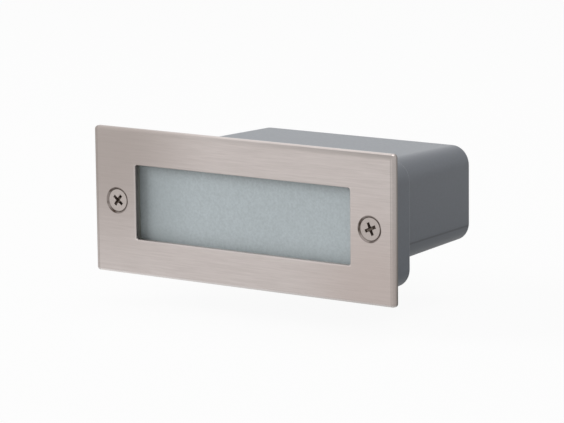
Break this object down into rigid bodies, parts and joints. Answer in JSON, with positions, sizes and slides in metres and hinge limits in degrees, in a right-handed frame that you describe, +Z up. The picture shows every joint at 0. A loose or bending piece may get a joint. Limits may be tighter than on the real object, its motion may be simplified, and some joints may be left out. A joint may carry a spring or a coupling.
{
  "type": "recessed wall light",
  "caption": "Brick-sized recessed wall light: brushed steel faceplate with a frosted window and countersunk screws over a dark grey die-cast housing with a rear cable gland.",
  "frame": {"origin": "middle of the wall face, where the back rim of the faceplate rests on the wall", "axes": "+X right as seen from the room, +Y into the wall, +Z up; the faceplate faces -Y"},
  "size_m": [0.17, 0.1234, 0.07],
  "materials": {
    "brushed_stainless": "brushed along the width",
    "stainless_screw": "turned, satin",
    "white_nylon": "natural",
    "black_rubber": "matt black",
    "grey_silicone": "matt mid grey",
    "frosted_glass": "sand-blasted",
    "zinc_plated_steel": "zinc plated",
    "grey_powder_coat": "die-cast, satin dark grey powder coat",
    "bright_aluminium": "bright rolled",
    "steatite": "unglazed cream",
    "clear_quartz": "clear",
    "tungsten": "drawn wire",
    "brass": "turned",
    "brown_insulation": "silicone sleeve",
    "blue_insulation": "silicone sleeve",
    "black_nylon": "moulded black"
  },
  "bodies": {
    "housing": {"housing": "grey_powder_coat", "reflector": "bright_aluminium", "reflector_screws": "zinc_plated_steel", "holder_bracket": "zinc_plated_steel", "bracket_rivets": "bright_aluminium", "lamp_holder": "steatite", "holder_screws": "zinc_plated_steel", "terminal_body": "steatite", "terminal_tubes": "brass", "terminal_screws": "zinc_plated_steel", "terminal_fixing": "zinc_plated_steel", "earth_washer": "brass", "earth_screw": "brass", "live_wire": "brown_insulation", "neutral_wire": "blue_insulation", "gland_body": "black_nylon", "gland_locknut": "black_nylon", "gland_washer": "black_rubber", "gland_seal": "black_rubber"},
    "cover": {"face_plate": "brushed_stainless", "window_gasket": "grey_silicone", "glass_pane": "frosted_glass", "clamp_frame": "zinc_plated_steel", "clamp_nuts": "zinc_plated_steel", "rim_gasket": "black_rubber", "screw_washers": "white_nylon"},
    "left_screw": {"cover_screw_left": "stainless_screw"},
    "right_screw": {"cover_screw_right": "stainless_screw"},
    "lamp": {"lamp_bulb": "clear_quartz", "lamp_pins": "zinc_plated_steel", "lamp_filament": "tungsten"},
    "gland_nut": {"gland_nut": "black_nylon"}
  },
  "joints": [
    {"name": "cover_lift", "type": "slide", "parent": "housing", "child": "cover", "axis": [0, -1, 0], "range_m": [0, 0.04]},
    {"name": "left_screw_turn", "type": "hinge", "parent": "cover", "child": "left_screw", "pos_m": [-0.0717, 0, 0], "axis": [0, -1, 0], "continuous": true},
    {"name": "right_screw_turn", "type": "hinge", "parent": "cover", "child": "right_screw", "pos_m": [0.0717, 0, 0], "axis": [0, -1, 0], "continuous": true},
    {"name": "lamp_pull", "type": "slide", "parent": "housing", "child": "lamp", "axis": [1, 0, 0], "range_m": [0, 0.015]},
    {"name": "gland_nut_turn", "type": "hinge", "parent": "housing", "child": "gland_nut", "pos_m": [0.02101, 0.113, 0], "axis": [0, 1, 0], "continuous": true}
  ]
}
